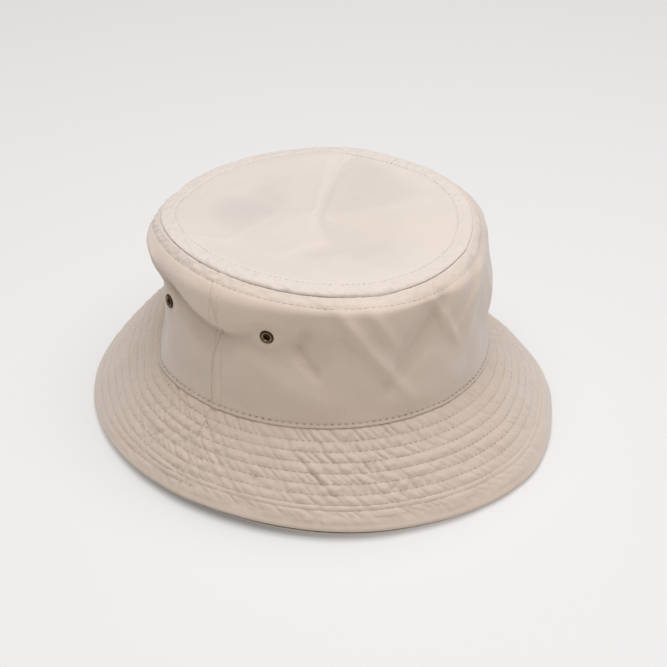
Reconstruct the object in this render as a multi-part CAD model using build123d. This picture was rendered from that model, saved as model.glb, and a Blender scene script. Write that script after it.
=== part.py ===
from build123d import *
import math
import os

# A quilted-brim bucket hat standing on its brim. Millimetres, +Z up.
# The wearer faces -Y, so +X is the wearer's left. The origin is on the table, under the middle.
# Every ring of the hat is an oval, given by its half width along X and half length along Y.

# Driving dimensions: an oval for a 58 cm head, and the height of each main ring
head_half_width = 88.0
head_half_length = 96.0
crown_base_height = 45.0
brim_half_width = 121.5
brim_half_length = 132.0
tip_half_width = 77.0
tip_height = 118.5
shoulder_half_width = 85.5
shoulder_height = 108.5
shoulder_middle = (82.6, 115.6)

# Cloth
panel_thickness = 0.7
cover_thickness = 0.9
interlining_thickness = 0.9
layer_gap = 0.1
brim_stack = 2 * cover_thickness + interlining_thickness + 2 * layer_gap
edge_turn = 0.6
rim_split = 1.75
flange_height = 10.0
flange_thickness = 0.5
sweatband_thickness = 1.0
sweatband_height = 30.0
tape_width = 14.0
tape_thickness = 0.5
tab_width = 18.0
tab_height = 20.0

# Eyelets
eyelet_hole_radius = 1.85
eyelet_barrel_radius = 2.15
eyelet_crest_radius = 2.8
eyelet_flange_radius = 3.7
eyelet_dome = 0.85
eyelet_lip = 0.35
eyelet_curl_radius = 2.7
eyelet_offset = 32.0
eyelet_front_height = 98.0
eyelet_back_height = 93.0
washer_radius = 3.9
washer_thickness = 0.3
washer_gap = 0.2
fit_gap = 0.05

# Sewing
thread_width = 0.4
quilting_rows = 9
first_row = 0.035
row_step = 0.105
topstitch_height = 3.0
sweatband_stitch_height = 1.5
tab_lift = 4.0
tape_edge_inset = 1.2
tape_reach = 7.0
seam_stitch_offset = 6.5
seam_edge_offset = 1.2

# The crown keeps the head oval's proportions all the way up
oval_ratio = head_half_length / head_half_width
tip_half_length = tip_half_width * oval_ratio
wall_slope = (head_half_width - shoulder_half_width) / (shoulder_height - crown_base_height)
brim_slope_stretch = math.hypot(1, (crown_base_height - brim_stack) / (brim_half_width - head_half_width))

# Insets of the layers behind the crown side, which leans in over the flanges' height
upper_flange_inset = panel_thickness + layer_gap + wall_slope * flange_height
lower_flange_inset = upper_flange_inset + flange_thickness + layer_gap
sweatband_inset = lower_flange_inset + flange_thickness + layer_gap

# A length that reaches past the whole hat, for cutting
reach = 400.0


def oval(half_width, half_length, height):
    """A flat oval face at a height."""
    return Plane.XY.offset(height) * Ellipse(half_width, half_length)


def oval_column(inset, low, high):
    """A straight column with the head oval's outline, drawn in by inset."""
    base = oval(head_half_width - inset, head_half_length - inset, low)
    return extrude(base, amount=high - low)


def oval_band(outer_inset, inner_inset, low, high):
    """A straight band that follows the head oval."""
    return oval_column(outer_inset, low, high) - oval_column(inner_inset, low - 1, high + 1)


def brim_half_sizes(share):
    """Half width and half length of the brim at a share of its width, 0 at the crown, 1 at the edge."""
    half_width = head_half_width + share * (brim_half_width - head_half_width)
    half_length = head_half_length + share * (brim_half_length - head_half_length)
    return half_width, half_length


def brim_height(share, drop):
    """Height of the surface that lies drop below the brim's top."""
    return crown_base_height + share * (brim_stack - crown_base_height) - drop


def brim_cone(drop):
    """Everything under the brim's surface, drop below its top."""
    edge = oval(*brim_half_sizes(1), brim_height(1, drop))
    crown_seam = oval(*brim_half_sizes(0), brim_height(0, drop))
    return loft([edge, crown_seam], ruled=True)


def brim_layer(drop, thickness, opening_inset):
    """One sloping layer of the brim, open where the head goes."""
    opening = oval_column(opening_inset, -reach / 2, reach / 2)
    return brim_cone(drop) - brim_cone(drop + thickness) - opening


def brim_outline_column(inset, low, high):
    """A straight column with the brim's outline, drawn in by inset."""
    half_width, half_length = brim_half_sizes(1)
    return extrude(oval(half_width - inset, half_length - inset, low), amount=high - low)


def brim_rim(low, high):
    """The turned edge of a cover, at the brim's outline."""
    return brim_outline_column(0, low, high) - brim_outline_column(edge_turn, low - 1, high + 1)


def upper_cover():
    """Outer cover of the brim, with its turned edge and its flange up inside the crown."""
    inset = upper_flange_inset
    flange_top = crown_base_height + flange_height
    flange = oval_band(inset, inset + flange_thickness, crown_base_height - cover_thickness, flange_top)
    rim = brim_rim(rim_split + layer_gap / 2, brim_stack)
    return brim_layer(0, cover_thickness, inset) + rim + flange


def interlining():
    """Stiffener between the covers, cut short of the turned edge."""
    layer = brim_layer(cover_thickness + layer_gap, interlining_thickness, 0)
    return layer & brim_outline_column(edge_turn + layer_gap, -reach / 2, reach / 2)


def lower_cover():
    """Under cover of the brim. Its hem is flat where it rests on the table."""
    drop = brim_stack - cover_thickness
    inset = lower_flange_inset
    flange_low = crown_base_height - brim_stack
    flange_top = crown_base_height + flange_height
    flange = oval_band(inset, inset + flange_thickness, flange_low, flange_top)
    rim = brim_rim(0, rim_split - layer_gap / 2)
    return brim_layer(drop, cover_thickness, inset) + rim + flange


def crown_curve(inset):
    """The crown side's profile in the XZ plane, drawn in by inset: an upright wall, then a shoulder."""
    diagonal = inset * math.sqrt(0.5)
    wall_low = (head_half_width - inset, crown_base_height + layer_gap)
    wall_high = (shoulder_half_width - inset, shoulder_height)
    middle = (shoulder_middle[0] - diagonal, shoulder_middle[1] - diagonal)
    seam = (tip_half_width, tip_height - inset)
    return wall_low, wall_high, middle, seam


def crown_layer(outer_inset, inner_inset):
    """A layer of the crown side between two insets, turned about Z and stretched to the head oval."""
    low_out, high_out, middle_out, seam_out = crown_curve(outer_inset)
    low_in, high_in, middle_in, seam_in = crown_curve(inner_inset)
    outline = [
        Line(low_out, high_out),
        ThreePointArc(high_out, middle_out, seam_out),
        Line(seam_out, seam_in),
        ThreePointArc(seam_in, middle_in, high_in),
        Line(high_in, low_in),
        Line(low_in, low_out),
    ]
    turned = revolve(Plane.XZ * make_face(outline), Axis.Z)
    return scale(turned, by=(1, oval_ratio, 1))


def crown_side():
    """Both halves of the crown side, standing just clear of the brim, with the eyelets' holes."""
    side = crown_layer(0, panel_thickness)
    for plane in eyelet_planes.values():
        side -= plane.location * Cylinder(eyelet_barrel_radius + fit_gap, 12)
    return side


def crown_tip():
    """Oval top panel, on the crown side's top edge."""
    return extrude(oval(tip_half_width, tip_half_length, tip_height + layer_gap), amount=panel_thickness)


def sweatband():
    """Folded band inside the crown's bottom edge."""
    low = crown_base_height - brim_stack
    return oval_band(sweatband_inset, sweatband_inset + sweatband_thickness, low, low + sweatband_height)


def size_tab():
    """Small blank tab sewn to the sweatband at the back of the head."""
    outer = sweatband_inset + sweatband_thickness + layer_gap
    low = crown_base_height + tab_lift
    band = oval_band(outer, outer + tape_thickness, low, low + tab_height)
    return band & Pos(0, head_half_length, low) * Box(tab_width, 40, 2 * tab_height)


def tip_seam_tape():
    """Tape over the raw edges of the tip seam, inside the crown."""
    high = tip_height - panel_thickness - 2 * layer_gap
    low = high - tape_thickness
    outer_inset = tape_edge_inset
    inner_inset = tape_edge_inset + tape_reach
    outer = oval(tip_half_width - outer_inset, tip_half_length - outer_inset, low)
    inner = oval(tip_half_width - inner_inset, tip_half_length - inner_inset, low)
    return extrude(outer - inner, amount=tape_thickness)


def side_seam_tape(side):
    """Tape over the raw edges of one temple seam, above the sweatband. side is 1 for the left."""
    inset = panel_thickness + layer_gap
    layer = crown_layer(inset, inset + tape_thickness)
    low = crown_base_height + sweatband_height
    strip = Box(40, tape_width, shoulder_height - low)
    return layer & Pos(side * head_half_width, 0, (low + shoulder_height) / 2) * strip


def front_half(shape):
    """The part of a shape on the face side of the temple seams."""
    return shape & Pos(0, -reach / 2, 0) * Box(reach, reach, reach)


def back_half(shape):
    """The part of a shape on the nape side of the temple seams."""
    return shape & Pos(0, reach / 2, 0) * Box(reach, reach, reach)


def eyelet_plane(side, end, height):
    """Plane on the crown side's surface at an eyelet, facing out. end is -1 at the front."""
    half_width = head_half_width - wall_slope * (height - crown_base_height)
    half_length = half_width * oval_ratio
    y = end * eyelet_offset
    x = side * half_width * math.sqrt(1 - (y / half_length) ** 2)
    level = Vector(x / half_width**2, y / half_length**2, 0).normalized()
    return Plane(origin=(x, y, height), z_dir=level + Vector(0, 0, wall_slope))


def eyelet():
    """Rolled brass eyelet about Z: a domed flange outside, a barrel, and a curled end inside."""
    inner = -panel_thickness - washer_gap - washer_thickness - fit_gap
    bore_end = inner - eyelet_lip
    curl_middle = ((eyelet_hole_radius + eyelet_curl_radius) / 2, inner - 1.5 * eyelet_lip)
    outline = [
        Line((eyelet_barrel_radius, fit_gap), (eyelet_flange_radius, fit_gap)),
        ThreePointArc(
            (eyelet_flange_radius, fit_gap),
            (eyelet_crest_radius, eyelet_dome),
            (eyelet_hole_radius, eyelet_lip),
        ),
        Line((eyelet_hole_radius, eyelet_lip), (eyelet_hole_radius, bore_end)),
        ThreePointArc((eyelet_hole_radius, bore_end), curl_middle, (eyelet_curl_radius, inner)),
        Line((eyelet_curl_radius, inner), (eyelet_barrel_radius, inner)),
        Line((eyelet_barrel_radius, inner), (eyelet_barrel_radius, fit_gap)),
    ]
    return revolve(Plane.XZ * make_face(outline), Axis.Z)


def eyelet_washer():
    """Flat brass washer about Z, between the cloth and the eyelet's curled end."""
    top = -panel_thickness - washer_gap
    ring = Circle(washer_radius) - Circle(eyelet_barrel_radius + fit_gap)
    return extrude(Plane.XY.offset(top - washer_thickness) * ring, amount=washer_thickness)


def thread_ring(half_width, half_length, low):
    """One closed row of sewing thread, just outside an oval and above a height."""
    outer = oval(half_width + thread_width, half_length + thread_width, low)
    return extrude(outer - oval(half_width, half_length, low), amount=thread_width)


def quilting_thread(drop):
    """The brim's quilting rows, following the surface that lies drop below its top."""
    layer = brim_cone(drop) - brim_cone(drop + thread_width * brim_slope_stretch)
    rows = []
    for row in range(quilting_rows):
        half_width, half_length = brim_half_sizes(first_row + row * row_step)
        column = extrude(oval(half_width + thread_width, half_length + thread_width, -reach / 2), amount=reach)
        column -= extrude(oval(half_width, half_length, -reach), amount=2 * reach)
        rows += (layer & column).solids()
    return Compound(rows)


def crown_base_thread():
    """The topstitch row just above the crown's bottom edge."""
    low = crown_base_height + topstitch_height
    return thread_ring(head_half_width + fit_gap, head_half_length + fit_gap, low)


def sweatband_thread():
    """The row that holds the sweatband, on its inner face."""
    inset = sweatband_inset + sweatband_thickness + thread_width + fit_gap
    low = crown_base_height - brim_stack + sweatband_stitch_height
    return thread_ring(head_half_width - inset, head_half_length - inset, low)


def tip_thread_inner():
    """The topstitch row on the tip, inside its seam."""
    low = tip_height + layer_gap + panel_thickness + fit_gap
    return thread_ring(tip_half_width - seam_stitch_offset, tip_half_length - seam_stitch_offset, low)


def tip_thread_outer():
    """The topstitch row on the crown side, round the shoulder."""
    half_width, height = shoulder_middle
    return thread_ring(half_width + fit_gap, half_width * oval_ratio + fit_gap, height + fit_gap)


def side_seam_thread(side):
    """The rows in front of one temple seam, up the crown. side is 1 for the left."""
    layer = crown_layer(-thread_width - fit_gap, -fit_gap)
    low = crown_base_height + topstitch_height + 2 * thread_width
    slot = Box(40, thread_width, shoulder_height - low)
    middle = (low + shoulder_height) / 2
    rows = []
    for offset in (seam_edge_offset, seam_stitch_offset):
        rows += (layer & Pos(side * head_half_width, -offset, middle) * slot).solids()
    return Compound(rows)


os.makedirs("parts", exist_ok=True)

eyelet_planes = {
    "right_front": eyelet_plane(-1, -1, eyelet_front_height),
    "right_back": eyelet_plane(-1, 1, eyelet_back_height),
    "left_front": eyelet_plane(1, -1, eyelet_front_height),
    "left_back": eyelet_plane(1, 1, eyelet_back_height),
}

side = crown_side()
upper = upper_cover()
middle = interlining()
lower = lower_cover()

nodes = {
    "crown_tip": crown_tip(),
    "crown_side_front": front_half(side),
    "crown_side_back": back_half(side),
    "brim_upper_front": front_half(upper),
    "brim_upper_back": back_half(upper),
    "brim_interlining_front": front_half(middle),
    "brim_interlining_back": back_half(middle),
    "brim_lower_front": front_half(lower),
    "brim_lower_back": back_half(lower),
    "sweatband": sweatband(),
    "size_tab": size_tab(),
    "tip_seam_tape": tip_seam_tape(),
    "side_seam_tape_left": side_seam_tape(1),
    "side_seam_tape_right": side_seam_tape(-1),
    "brim_quilting_thread_top": quilting_thread(-(thread_width + fit_gap) * brim_slope_stretch),
    "brim_quilting_thread_under": quilting_thread(brim_stack + fit_gap * brim_slope_stretch),
    "crown_base_thread": crown_base_thread(),
    "sweatband_thread": sweatband_thread(),
    "tip_seam_thread_inner": tip_thread_inner(),
    "tip_seam_thread_outer": tip_thread_outer(),
    "side_seam_thread_left": side_seam_thread(1),
    "side_seam_thread_right": side_seam_thread(-1),
}
for place, plane in eyelet_planes.items():
    nodes["eyelet_" + place] = plane.location * eyelet()
    nodes["eyelet_washer_" + place] = plane.location * eyelet_washer()

for node, shape in nodes.items():
    export_step(shape, "parts/" + node + ".step")
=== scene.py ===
"""A cotton bucket hat with a spirally quilted brim, standing on a pale table.

Lengths are metres. A place on the hat is given by its turn, in degrees about +Z from the wearer's left
(+X), and by a distance along the cloth. The face side is at 270 degrees and the temple seams at 0 and 180.
"""

import math

import bmesh
import bpy
from bpy.props import FloatProperty, FloatVectorProperty, IntProperty, PointerProperty
from mathutils import Matrix, Vector, noise


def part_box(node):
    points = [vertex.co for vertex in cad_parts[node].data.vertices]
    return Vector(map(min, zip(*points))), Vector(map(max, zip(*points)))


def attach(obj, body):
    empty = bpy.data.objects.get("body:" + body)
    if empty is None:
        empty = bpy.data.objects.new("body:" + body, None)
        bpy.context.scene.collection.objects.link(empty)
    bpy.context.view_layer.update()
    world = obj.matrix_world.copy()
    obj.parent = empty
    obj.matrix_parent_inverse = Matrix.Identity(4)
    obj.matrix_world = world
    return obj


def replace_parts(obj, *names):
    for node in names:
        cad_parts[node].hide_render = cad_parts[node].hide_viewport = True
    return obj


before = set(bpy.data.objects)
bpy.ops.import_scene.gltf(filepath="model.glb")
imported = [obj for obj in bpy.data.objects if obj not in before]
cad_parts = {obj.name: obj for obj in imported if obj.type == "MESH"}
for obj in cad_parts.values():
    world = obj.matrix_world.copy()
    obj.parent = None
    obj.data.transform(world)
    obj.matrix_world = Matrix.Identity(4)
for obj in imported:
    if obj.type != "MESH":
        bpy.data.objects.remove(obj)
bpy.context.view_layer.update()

bl_info = {
    "name": "Quilted bucket hat",
    "version": (1, 0, 0),
    "blender": (4, 5, 0),
    "location": "View3D > Sidebar > Hat",
    "description": "Makes a soft cotton bucket hat around its fixed frame",
    "category": "Object",
}

MM = 0.001
UP = Vector((0, 0, 1))

# The fixed frame's own sizes, which the cloth follows
CROWN_LOW, CROWN_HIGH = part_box("crown_side_front")
BRIM_LOW, BRIM_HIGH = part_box("brim_upper_front")
TIP_LOW, TIP_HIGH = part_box("crown_tip")

SIDES = ("front", "back")
EYELETS = ("right_front", "right_back", "left_front", "left_back")


# Sizes and colours that a user would change

def length(name, description, default):
    """A property in metres."""
    return FloatProperty(name=name, description=description, default=default, unit="LENGTH", precision=5)


def colour(name, description, default):
    """A colour property."""
    return FloatVectorProperty(name=name, description=description, default=default, subtype="COLOR", size=3)


class HatCut(bpy.types.PropertyGroup):
    """How the hat is cut and sewn."""

    panel: length("Panel", "Thickness of the crown's cloth", 0.7 * MM)
    cover: length("Cover", "Thickness of each brim cover", 0.5 * MM)
    stack: length("Stack", "Thickness of the quilted brim", 2.2 * MM)
    shoulder: length("Shoulder", "Height of the rounded shoulder under the tip", 12.5 * MM)
    seam_margin: length("Seam margin", "Distance of a topstitch row from its seam", 6.0 * MM)
    tip_margin: length("Tip margin", "Distance of the tip's topstitch row from its seam", 7.6 * MM)
    topstitch: length("Topstitch", "Distance of the base row above the crown's edge", 3.0 * MM)
    band: length("Sweatband", "Height of the sweatband", 30 * MM)
    rows: IntProperty(name="Rows", description="Quilting rows on the brim", default=9, min=1)
    first_row: FloatProperty(name="First row", description="First row's share of the width", default=0.03)
    row_step: FloatProperty(name="Row step", description="Share of the width between rows", default=0.104)
    stitch: length("Stitch", "Length of one quilting stitch", 3.0 * MM)
    base_stitch: length("Base stitch", "Length of one stitch round the crown's edge", 3.5 * MM)


class HatWear(bpy.types.PropertyGroup):
    """How soft and creased the hat is."""

    crease: FloatProperty(name="Creases", description="Depth of the crown's creases", default=1.0)
    pucker: length("Puckers", "Depth of the brim's puckers", 1.2 * MM)
    puff: length("Puff", "Rise of the brim between its quilting rows", 0.6 * MM)


class HatColours(bpy.types.PropertyGroup):
    """The hat's colours, as linear light."""

    cloth: colour("Cloth", "Beige cotton twill", (0.68, 0.548, 0.435))
    # Painted light: a paler copy of the cloth colour, standing in for the light that falls on the tip and
    # the top of the shoulder
    painted_top_light: colour("Painted_light", "The same twill on the light-painted tip", (0.72, 0.622, 0.53))
    thread: colour("Thread", "Sewing thread", (0.64, 0.53, 0.42))
    lining: colour("Lining", "Sweatband and tapes", (0.68, 0.58, 0.49))
    stiffener: colour("Stiffener", "Interlining", (0.75, 0.73, 0.70))
    tab: colour("Tab", "Size tab", (0.85, 0.84, 0.82))
    brass: colour("Brass", "Eyelets, where they are worn bright", (0.42, 0.30, 0.17))
    patina: colour("Patina", "Eyelets, where they are dark", (0.055, 0.035, 0.022))
    table: colour("Table", "The table top", (0.52, 0.50, 0.475))


# Shape

def smooth(low, high, value):
    """0 below low, 1 above high, and a smooth rise between."""
    share = min(1.0, max(0.0, (value - low) / (high - low)))
    return share * share * (3 - 2 * share)


def hump(distance, width):
    """1 at no distance, falling smoothly to nothing past about twice the width."""
    return math.exp(-((distance / width) ** 2))


def apart(turn, middle):
    """Degrees from a middle turn, the short way round."""
    return (turn - middle + 180) % 360 - 180


def mix(a, b, share):
    """From a to b."""
    return a + (b - a) * share


class Ring:
    """One oval ring of the soft hat. Its height waves twice and once a turn."""

    def __init__(self, half_width, half_length, height, centre=(0, 0), twice=(0, 0), once=(0, 0)):
        self.half_width, self.half_length, self.height = half_width, half_length, height
        self.centre, self.twice, self.once = centre, twice, once

    def point(self, turn):
        """The ring's point at a turn."""
        angle = math.radians(turn)
        cos, sin = math.cos(angle), math.sin(angle)
        wave = self.twice[0] * math.cos(2 * angle) + self.twice[1] * math.sin(2 * angle)
        wave += self.once[0] * cos + self.once[1] * sin
        x = self.centre[0] + self.half_width * cos
        y = self.centre[1] + self.half_length * sin
        return Vector((x, y, self.height + wave))

    def outward(self, turn):
        """Level direction straight out of the ring at a turn."""
        angle = math.radians(turn)
        steep = Vector((math.cos(angle) / self.half_width, math.sin(angle) / self.half_length, 0))
        return steep.normalized()

    def girth(self):
        """Distance round the ring."""
        a, b = self.half_width, self.half_length
        return math.pi * (3 * (a + b) - math.sqrt((3 * a + b) * (a + 3 * b)))


# The crown's bottom seam, the hem, and the tip's seam before it sank
BASE = Ring(CROWN_HIGH.x, -CROWN_LOW.y, CROWN_LOW.z, (0, 0), (-1.2 * MM, 1.6 * MM), (-0.6 * MM, 0.2 * MM))
HEM = Ring(BRIM_HIGH.x, -BRIM_LOW.y, 3.9 * MM, (3.2 * MM, -0.2 * MM), (2.1 * MM, 2.0 * MM))
SEAM = Ring(
    TIP_HIGH.x, TIP_HIGH.y, TIP_LOW.z, (-0.7 * MM, 0.6 * MM), (2.3 * MM, -1.7 * MM), (-1.1 * MM, -2.2 * MM)
)

# The brim: its width, how much it bows out along that width, how far its inner edge is tucked under the
# crown, the radius of its turned edge, and how low its hem may come and how softly it stops there
BRIM_WIDTH = 56 * MM
BRIM_BOW = 1.6 * MM
TUCKED_UNDER = 0.9 * MM
EDGE_RADIUS = 1.1 * MM
HEM_LOWEST = 1.8 * MM
HEM_SOFT = 0.5 * MM

# How much longer the brim is round its middle than round its inner edge
BRIM_SPREAD = 1.2

# The stiffener: its share of the brim's width, its depth below the outer face, and its thickness
CORE_SHARE = 0.97
CORE_DEPTH = 0.8 * MM
CORE_THICKNESS = 0.5 * MM

# The crown side: how far it leans in, and the lengths of its straight wall and of its rounded shoulder
LEAN = 2.5 * MM
WALL = 61.5 * MM
ROLL = 16 * MM
SIDE = WALL + ROLL

# The tip's seam: how far it has sunk in and down where the crown is slack, and how far its kinks stand out
SUNK_IN = 3.4 * MM
SUNK_DOWN = 2.1 * MM
KINK_OUT = 0.8 * MM

# Level direction in which the crown's wall behind the right temple has been pressed flat, how far out the
# wall stood against it, how far it is pressed in at its bottom and its middle, and how softly it turns flat
PRESS = Vector((0.616, -0.788, 0))
PRESS_REACH = 93 * MM
PRESSED_BASE = 8.6 * MM
PRESSED_WALL = 14.0 * MM
PRESS_SOFT = 2.2 * MM

# Millimetres round the cloth in one degree of turn: on the crown side, at its temple seams, on the brim
CROWN_DEGREE = 1.6
TEMPLE_DEGREE = 1.68
BRIM_DEGREE = 1.9

# The tapes inside the crown, and the gap that they keep from the cloth
TAPE_WIDTH = 14 * MM
TAPE_THICKNESS = 0.4 * MM
TAPE_GAP = 0.25 * MM

# The size tab
TAB_WIDTH = 18 * MM
TAB_HEIGHT = 20 * MM

# The lowest relief, in millimetres, that the cloth's painted shade in valleys is read from. Only the tip's
# seam, with its painted seam shade, reads lower.
LOWEST_SHADED_RELIEF = -1.4


def pressed(point, depth):
    """How far a point moves where the wall behind the right temple has been pressed flat by a depth."""
    reach = -point.dot(PRESS) - (PRESS_REACH - depth)
    if depth <= 0 or reach < -5 * PRESS_SOFT:
        return Vector((0, 0, 0))
    return PRESS * PRESS_SOFT * math.log1p(math.exp(reach / PRESS_SOFT))


def tip_seam(turn):
    """Point on the tip's seam, which has sunk in where the crown is slack."""
    slack = hump(apart(turn, 103), 20) + 0.55 * hump(apart(turn, 72), 18)
    slack += 0.55 * hump(apart(turn, 358), 20) + 0.3 * hump(apart(turn, 41), 16)
    kink = hump(apart(turn, 239), 4.5) + 0.8 * hump(apart(turn, 283), 4)
    level = SEAM.outward(turn)
    return SEAM.point(turn) - ((level * SUNK_IN + UP * SUNK_DOWN) * slack - level * KINK_OUT * kink)


def tip_radius(turn):
    """Level distance from the tip's middle to its seam."""
    seam = tip_seam(turn)
    return Vector((seam.x - SEAM.centre[0], seam.y - SEAM.centre[1], 0)).length


class Crease:
    """A ridge, or a valley where the height is less than 0, along a straight line on the crown side.
    Its cliff is the share of the height by which the cloth steps down from its one side to the other."""

    def __init__(self, start, end, height, width, cliff=0.0):
        self.start = self.flat(*start)
        self.along = self.flat(*end) - self.start
        self.height, self.width, self.cliff = height, width, cliff

    @staticmethod
    def flat(turn, up):
        """A place on the crown side as a flat point, in millimetres."""
        return Vector((turn * CROWN_DEGREE, up))

    def rise(self, turn, up):
        """Height of the crease, in millimetres, at a place on the crown side."""
        offset = self.flat(turn, up) - self.start
        share = offset.dot(self.along) / self.along.length_squared
        if not -0.6 < share < 1.6:
            return 0.0
        side = (self.along.x * offset.y - self.along.y * offset.x) / self.along.length
        ends = smooth(-0.45, 0.25, share) * (1 - smooth(0.75, 1.45, share))
        ridge = hump(side, self.width)
        step = math.tanh(side / self.width) * hump(side, 4 * self.width)
        return self.height * ends * (ridge + self.cliff * step)


# The crown side's creases: turn, and millimetres up the cloth, at each end, then the crease's height and
# width in millimetres, and its cliff
CREASES = (
    Crease((224, 66), (242, 24), 2.4, 3.6, 0.2),
    Crease((232, 71), (240, 50), 1.4, 3.2, 0.2),
    Crease((260, 68), (240, 26), -3.0, 5.6, -0.2),
    Crease((256, 66), (265, 38), 1.5, 3.0, 0.4),
    Crease((284, 68), (266, 47), 1.5, 4.0, 0.3),
    Crease((276, 52), (262, 12), 1.2, 5.5, -0.2),
    Crease((212, 57), (209, 44), -2.3, 3.2, 0.0),
    Crease((209, 46), (215, 32), -2.1, 2.8, 0.5),
    Crease((194, 36), (222, 14), 1.0, 6.0, 0.2),
    Crease((138, 67), (153, 63), 1.0, 2.0, 0.0),
    Crease((176, 30), (182, 6), 0.35, 3.6, 0.0),
    Crease((290, 58), (300, 26), 0.8, 5.0, 0.3),
    Crease((20, 60), (38, 24), 1.6, 4.6, 0.4),
    Crease((56, 64), (44, 30), -1.8, 5.6, -0.3),
    Crease((75, 50), (96, 30), 1.3, 4.8, 0.4),
    Crease((112, 66), (98, 40), 1.4, 4.4, 0.4),
    Crease((320, 62), (334, 30), 0.7, 4.6, 0.4),
)


def eyelet_centre(place):
    """Middle of an eyelet, and the direction that the cloth under it faces."""
    low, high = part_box("eyelet_" + place)
    centre = (low + high) / 2
    turn = math.degrees(math.atan2(centre.y / BASE.half_length, centre.x / BASE.half_width)) % 360
    facing = (BASE.outward(turn) + UP * LEAN / WALL).normalized()
    return centre, facing


EYELET_CENTRES = {place: eyelet_centre(place) for place in EYELETS}


def eyelet_clear(point):
    """1 away from the eyelets, and 0 on the cloth that each one clamps flat."""
    nearest = min((point - centre).length for centre, facing in EYELET_CENTRES.values())
    return smooth(4.0 * MM, 10 * MM, nearest)


def seam_bend(up):
    """How far a temple seam bends towards the face, in degrees of turn, at a height in millimetres."""
    return 3.6 * hump(up - 50, 15) * (1 - smooth(62, 72, up))


def seam_distance(turn, up):
    """Distance in millimetres from the nearer temple seam, towards the face."""
    if 90 < turn % 360 < 270:
        return (turn % 360 - 180 - seam_bend(up)) * TEMPLE_DEGREE
    return -((turn + 180) % 360 - 180 + seam_bend(up)) * TEMPLE_DEGREE


def shoulder_slump(turn, up):
    """The slack roll over the right temple, and the wall's sinking elsewhere, in millimetres."""
    edge = 58.5 - 10 * smooth(158, 183, turn) + 5.5 * smooth(185, 196, turn)
    size = 2.6 * smooth(132, 160, turn) * (1 - 0.85 * smooth(184, 214, turn))
    roll = size * smooth(edge - 4.5, edge + 5.5, up) * (1 - 0.9 * smooth(62, 76, up))
    fold = smooth(146, 160, turn) * (1 - smooth(183, 192, turn))
    hollow = smooth(150, 166, turn) * (1 - smooth(186, 214, turn))
    below = edge - 2.2 - up
    roll -= 1.2 * fold * hump(below, 3.0) + 1.9 * hollow * hump(below - 4, 9) * smooth(-7, 3, below)
    roll += 1.3 * hump(apart(turn, 130), 11) * smooth(60, 70, up)
    slack = 2.2 * smooth(8, 40, turn) * (1 - smooth(112, 150, turn))
    slack += 2.4 * hump(apart(turn, 108), 24) + 2.4 * hump(apart(turn, 355), 22)
    slack += 1.7 * hump(apart(turn, 298), 14)
    return roll - slack * smooth(40, 64, up) * (1 - 0.5 * smooth(70, 78, up))


def crown_relief(turn, up):
    """How far the cloth stands out of the plain crown side, in millimetres."""
    place = Vector((turn * CROWN_DEGREE, up, 0))
    rise = 1.6 * noise.noise(place / 30) + 0.6 * noise.noise(place / 15 + Vector((7, 0, 0)))
    rise *= smooth(0, 14, up)
    rise += shoulder_slump(turn, up)
    rise += sum(crease.rise(turn, up) for crease in CREASES)
    return rise


def band_tucks(turn, inside):
    """Small puckers between a seam and its topstitch row, from about -1 to 1."""
    along = turn * 1.5
    small = noise.noise(Vector(((along + inside * 0.6) / 1.9, inside / 3.4, 2)))
    return 1.3 * small + 0.9 * noise.noise(Vector(((along - inside * 0.4) / 4.6, inside / 5, 7)))


def seam_shade(turn, inside):
    """How much deeper the tip's seam looks than it is, in millimetres, as painted shade for the cloth's
    colour: most at the right temple's front.
    """
    return (0.5 + 4.0 * hump(apart(turn, 208), 32)) * hump(inside, 0.6)


def crown_sewing(turn, up):
    """Relief of the crown side's seams and stitch rows, in millimetres."""
    cut = bpy.context.scene.hat_cut
    margin = cut.seam_margin / MM
    top = SIDE / MM - up
    tucks = band_tucks(turn, top)
    band = smooth(0, 1.2, top) * (1 - smooth(margin - 1.0, margin + 0.5, top))
    rise = 0.34 * band * (0.7 + 1.6 * tucks) - 0.38 * hump(top - margin, 0.7)
    rise -= (0.3 + 1.2 * hump(apart(turn, 213), 36)) * hump(top, 0.5)
    hem = 1 - smooth(cut.topstitch / MM - 0.6, cut.topstitch / MM + 0.6, up)
    rise += 0.75 * hem - 0.35 * hump(up - cut.topstitch / MM, 0.6)
    rise += 0.16 * tucks * hump(up - cut.topstitch / MM, 3.2)
    rise -= 1.1 * hump(up, 0.5)
    seam = seam_distance(turn, up)
    if abs(seam) < 14:
        beside = Vector((0, up, 0))
        wobble = 0.10 * noise.noise(beside / 3.1 + UP * 4)
        felled = smooth(0, 0.5, seam) * (1 - smooth(margin - 0.5, margin + 0.7, seam))
        rise += (0.26 + wobble) * felled - 0.45 * hump(seam, 0.32)
        rise -= 0.16 * hump(seam - margin, 0.6) + 0.06 * hump(seam - 1.3, 0.5)
    return rise


def along_shoulder(inward, rise, part):
    """How far up a curved shoulder lies a part of its length."""
    def reach(share):
        slope = 2 * inward * share / rise
        return rise / 2 * (share * math.sqrt(1 + slope * slope) + math.asinh(slope) * rise / (2 * inward))

    low, high, goal = 0.0, 1.0, part * reach(1)
    for halving in range(12):
        middle = (low + high) / 2
        low, high = (middle, high) if reach(middle) < goal else (low, middle)
    return (low + high) / 2


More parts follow.
